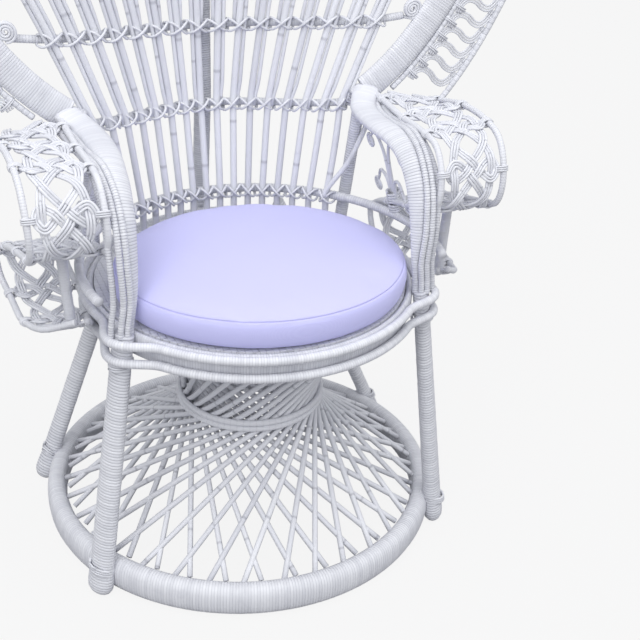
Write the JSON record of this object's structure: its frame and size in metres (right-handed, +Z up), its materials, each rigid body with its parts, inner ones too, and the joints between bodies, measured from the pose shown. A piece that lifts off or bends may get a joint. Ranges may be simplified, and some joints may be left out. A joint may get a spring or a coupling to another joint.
{
  "type": "peacock chair",
  "caption": "Round-seated cane armchair with an hourglass base, scrolled arms with woven armrests, a tall round fan back and a loose round cushion.",
  "frame": {"origin": "centre of the base hoop on the floor, at the middle of the bounding box's bottom face", "axes": "+X across the chair, to the right as seen from the front, -Y the way the sitter faces, +Z up"},
  "size_m": [0.9874, 0.594, 1.4338],
  "materials": {
    "painted_cane": "white paint on thin cane, worn satin",
    "wrapped_cane": "white paint over poles wound with flat cane, worn satin",
    "seat_deck": "white painted woven cane deck",
    "cushion_fabric": "plain matt lavender cotton",
    "cushion_filling": "soft pale filling",
    "zip": "lavender zip with fine teeth"
  },
  "bodies": {
    "frame": {"base_hoop": "wrapped_cane", "hourglass_outer": "painted_cane", "hourglass_inner": "painted_cane", "waist_ring": "painted_cane", "seat_rod_lower": "painted_cane", "seat_rod_upper": "painted_cane", "seat_apron": "painted_cane", "seat_deck": "seat_deck", "leg_front_left": "wrapped_cane", "leg_rear_left": "wrapped_cane", "arm_arch_left": "wrapped_cane", "arm_binding_left": "painted_cane", "arm_rear_post_left": "wrapped_cane", "arm_weave_left": "painted_cane", "arm_scroll_left": "painted_cane", "leg_front_right": "wrapped_cane", "leg_rear_right": "wrapped_cane", "arm_arch_right": "wrapped_cane", "arm_binding_right": "painted_cane", "arm_rear_post_right": "wrapped_cane", "arm_weave_right": "painted_cane", "arm_scroll_right": "painted_cane", "hoop_1": "painted_cane", "hoop_2": "painted_cane", "hoop_3": "painted_cane", "hoop_4": "painted_cane", "hoop_5": "painted_cane", "fan_band": "wrapped_cane", "fan_rod_inner": "painted_cane", "fan_rod_outer": "painted_cane", "fan_lace_front": "painted_cane", "fan_lace_back": "painted_cane", "spoke_01": "painted_cane", "spoke_02": "painted_cane", "spoke_03": "painted_cane", "spoke_04": "painted_cane", "spoke_05": "painted_cane", "spoke_06": "painted_cane", "spoke_07": "painted_cane", "spoke_08": "painted_cane", "spoke_09": "painted_cane", "spoke_10": "painted_cane", "spoke_11": "painted_cane", "spoke_12": "painted_cane", "spoke_13": "painted_cane", "spoke_14": "painted_cane", "spoke_15": "painted_cane", "spoke_16": "painted_cane", "rear_brace": "wrapped_cane"},
    "cushion": {"cushion_cover": "cushion_fabric", "cushion_foam": "cushion_filling", "cushion_zip": "zip"}
  },
  "joints": [
    {"name": "cushion_lift", "type": "slide", "parent": "frame", "child": "cushion", "axis": [0, 0, 1], "range_m": [0, 0.21], "deforming": ["cushion_cover", "cushion_foam"]}
  ]
}
